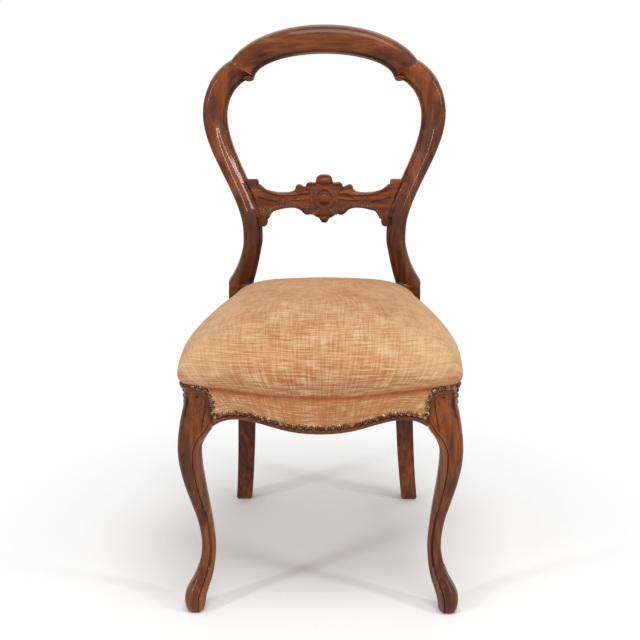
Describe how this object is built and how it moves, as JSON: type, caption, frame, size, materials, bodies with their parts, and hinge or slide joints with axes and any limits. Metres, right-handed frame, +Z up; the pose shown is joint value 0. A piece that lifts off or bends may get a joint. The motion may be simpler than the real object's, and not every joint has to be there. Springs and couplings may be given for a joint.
{
  "type": "balloon back dining chair",
  "caption": "Upholstered dining chair with an open rounded back, carved mid rail, cabriole front legs, raked back legs and a sprung, stuffed seat edged with domed nails.",
  "frame": {"origin": "on the floor, below the middle of the chair", "axes": "+Z up, the chair faces -Y, +X to the right seen from the front"},
  "size_m": [0.4574, 0.518, 0.8881],
  "materials": {
    "mahogany": "french polished",
    "inner_wood": "planed, unpolished",
    "screw_steel": "dulled steel",
    "webbing": "woven jute",
    "tack_steel": "blued steel",
    "spring_wire": "coppered steel wire",
    "hessian": "coarse plain weave",
    "hair_stuffing": "curled hair",
    "cotton_wadding": "soft wadding",
    "velvet": "worn velvet",
    "nail_brass": "antiqued, domed"
  },
  "bodies": {
    "root": {"front_leg_right": "mahogany", "front_leg_left": "mahogany", "back_leg_stile_right": "mahogany", "back_leg_stile_left": "mahogany", "crest_rail": "mahogany", "mid_rail": "mahogany", "front_seat_rail": "mahogany", "back_seat_rail": "mahogany", "side_seat_rail_right": "mahogany", "side_seat_rail_left": "mahogany", "corner_block_front_right": "inner_wood", "corner_block_front_left": "inner_wood", "corner_block_back_right": "inner_wood", "corner_block_back_left": "inner_wood", "corner_block_screws": "screw_steel", "crest_dowels": "inner_wood", "mid_rail_dowels": "inner_wood", "seat_rail_dowels": "inner_wood", "webbing_front_to_back": "webbing", "webbing_side_to_side": "webbing", "webbing_tacks": "tack_steel", "seat_spring_front_left": "spring_wire", "seat_spring_front_right": "spring_wire", "seat_spring_middle": "spring_wire", "seat_spring_back_left": "spring_wire", "seat_spring_back_right": "spring_wire", "spring_hessian": "hessian", "first_stuffing": "hair_stuffing", "top_stuffing": "cotton_wadding", "seat_cover": "velvet", "front_nails": "nail_brass", "back_nails": "nail_brass", "knee_nails_right": "nail_brass", "knee_nails_left": "nail_brass", "side_nails_right": "nail_brass", "side_nails_left": "nail_brass"}
  },
  "joints": []
}
